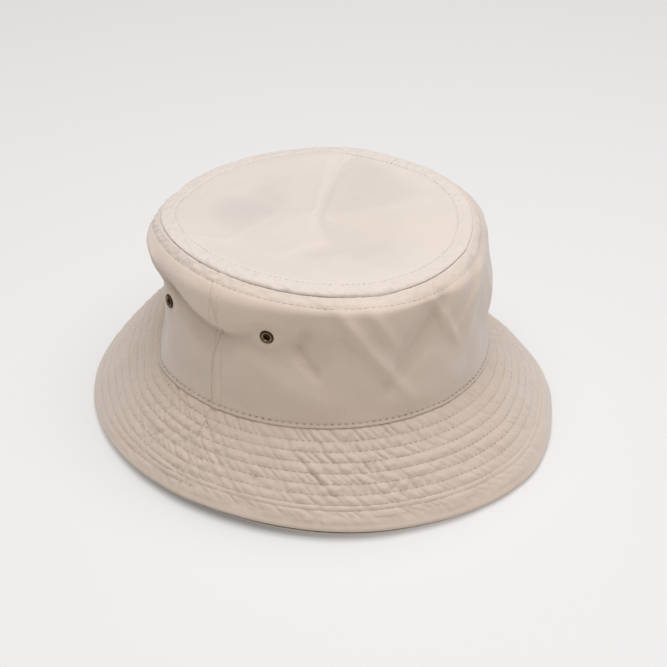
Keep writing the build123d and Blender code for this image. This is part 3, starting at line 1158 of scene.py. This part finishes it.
class HatSewing(bpy.types.Operator):
    """Sew every row of stitches."""

    bl_idname = "hat.sewing"
    bl_label = "Sewing"

    def execute(self, context):
        cut = context.scene.hat_cut
        margin = cut.seam_margin

        def share_of_row(turn, row):
            """The brim share where a quilting row runs at a turn."""
            low, high = 0.0, 1.0
            for step in range(22):
                middle = (low + high) / 2
                if quilt(turn, middle) < row:
                    low = middle
                else:
                    high = middle
            return (low + high) / 2

        def brim_route(row, under):
            def route(share):
                turn = 360 * share
                place = share_of_row(turn, row)
                depth, lift = (cut.stack, -0.7) if under else (0.0, 1.0)
                point, normal, relief = brim_point(turn, place, depth, under, lift)
                return point, (-normal if under else normal)
            return route

        first, last = row_stitches(context, 0), row_stitches(context, cut.rows - 1)
        counts = [round(mix(first, last, row / (cut.rows - 1))) for row in range(cut.rows)]
        for name, under in (("brim_quilting_thread_top", False), ("brim_quilting_thread_under", True)):
            routes = [(brim_route(row, under), counts[row]) for row in range(cut.rows)]
            sew(name, routes, 0.36 * MM, 0.30 * MM)

        def base_route(share):
            return crown_point(360 * share, cut.topstitch)[:2]

        count = round(BASE.girth() / cut.base_stitch)
        sew("crown_base_thread", [(base_route, count)])

        def band_route(share):
            point, normal, relief = crown_point(360 * share, 0.4 * MM, 3.0 * MM)
            return point, -normal

        sew("sweatband_thread", [(band_route, count)])

        def shoulder_route(share):
            return crown_point(360 * share, SIDE - margin)[:2]

        def tip_route(share):
            turn = 360 * share
            return tip_point(turn, 1 - cut.tip_margin / tip_radius(turn))[:2]

        count = round(SEAM.girth() / cut.stitch)
        sew("tip_seam_thread_outer", [(shoulder_route, count)], lift=0.16 * MM)
        sew("tip_seam_thread_inner", [(tip_route, count)], lift=0.16 * MM)

        for side, middle, forward in (("left", 0, -1), ("right", 180, 1)):
            def side_route(offset, middle=middle, forward=forward):
                def route(share):
                    turn = middle + forward * offset / CROWN_DEGREE
                    up = mix(cut.topstitch + 2 * MM, SIDE - margin - 1 * MM, share)
                    return crown_point(turn, up)[:2]
                return route

            count = round((SIDE - margin - cut.topstitch) / cut.stitch)
            routes = [(side_route(1.4), count), (side_route(margin / MM), count)]
            sew("side_seam_thread_" + side, routes)
        return {"FINISHED"}


class HatEyelets(bpy.types.Operator):
    """Give the eyelets and their washers antique brass."""

    bl_idname = "hat.eyelets"
    bl_label = "Eyelets"

    def execute(self, context):
        for place in EYELETS:
            material = brass_material(place, context.scene.hat_colours)
            for node in ("eyelet_" + place, "eyelet_washer_" + place):
                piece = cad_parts[node]
                for slot in piece.material_slots:
                    slot.material = material
        return {"FINISHED"}


class HatStage(bpy.types.Operator):
    """Make the table, the lights and the camera."""

    bl_idname = "hat.stage"
    bl_label = "Stage"

    def execute(self, context):
        bm = bmesh.new()
        bmesh.ops.create_grid(bm, x_segments=1, y_segments=1, size=6.0)
        mesh = bpy.data.meshes.new("table")
        bm.to_mesh(mesh)
        bm.free()
        table = bpy.data.objects.new("table", mesh)
        context.scene.collection.objects.link(table)
        mesh.materials.append(table_material(context.scene.hat_colours.table))

        light = bpy.data.lights.new("overhead_softbox", "AREA")
        light.shape, light.size, light.energy = "DISK", 1.6, 22
        light.color = (0.96, 0.99, 1.07)
        lamp = bpy.data.objects.new("overhead_softbox", light)
        context.scene.collection.objects.link(lamp)
        lamp.location = (-0.05, -0.15, 1.35)
        lamp.rotation_mode = "QUATERNION"
        lamp.rotation_quaternion = (Vector((0, 0, 0.05)) - lamp.location).to_track_quat("-Z", "Y")

        world = bpy.data.worlds.new("studio")
        world.use_nodes = True
        background = world.node_tree.nodes["Background"]
        background.inputs["Color"].default_value = (1.0, 0.96, 0.90, 1)
        background.inputs["Strength"].default_value = 0.20
        context.scene.world = world
        context.scene.view_settings.view_transform = "Standard"

        lens = bpy.data.cameras.new("camera")
        camera = bpy.data.objects.new("camera", lens)
        context.scene.collection.objects.link(camera)
        azimuth, elevation, distance = math.radians(-52), math.radians(34.7), 0.9
        aim = Vector((0, 0, 0.043))
        lens.sensor_width, lens.lens = 36, 88.408
        lens.shift_x, lens.shift_y = 0.0249, -0.00165
        level = math.cos(elevation)
        back = Vector((math.sin(azimuth) * level, -math.cos(azimuth) * level, math.sin(elevation)))
        camera.location = aim + back * distance
        camera.rotation_mode = "QUATERNION"
        camera.rotation_quaternion = (-back).to_track_quat("-Z", "Y")
        lens.clip_start, lens.clip_end = 0.05, 50
        context.scene.camera = camera
        return {"FINISHED"}


class HatPanel(bpy.types.Panel):
    """The hat's sizes, colours and steps."""

    bl_idname = "VIEW3D_PT_hat"
    bl_label = "Bucket hat"
    bl_space_type = "VIEW_3D"
    bl_region_type = "UI"
    bl_category = "Hat"

    def draw(self, context):
        for group in (context.scene.hat_cut, context.scene.hat_wear, context.scene.hat_colours):
            box = self.layout.box()
            for name in group.__annotations__:
                box.prop(group, name)
        for step in STEPS:
            self.layout.operator(step.bl_idname)


GROUPS = (HatCut, HatWear, HatColours)
STEPS = (HatTip, HatCrown, HatBrim, HatInside, HatSewing, HatEyelets, HatStage)


def register():
    for item in (*GROUPS, *STEPS, HatPanel):
        bpy.utils.register_class(item)
    bpy.types.Scene.hat_cut = PointerProperty(type=HatCut)
    bpy.types.Scene.hat_wear = PointerProperty(type=HatWear)
    bpy.types.Scene.hat_colours = PointerProperty(type=HatColours)


def unregister():
    for name in ("hat_cut", "hat_wear", "hat_colours"):
        delattr(bpy.types.Scene, name)
    for item in reversed((*GROUPS, *STEPS, HatPanel)):
        bpy.utils.unregister_class(item)


def main():
    """Registers the add-on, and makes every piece."""
    register()
    bpy.ops.hat.tip()
    bpy.ops.hat.crown()
    bpy.ops.hat.brim()
    bpy.ops.hat.inside()
    bpy.ops.hat.sewing()
    bpy.ops.hat.eyelets()
    bpy.ops.hat.stage()


if __name__ == "__main__":
    main()
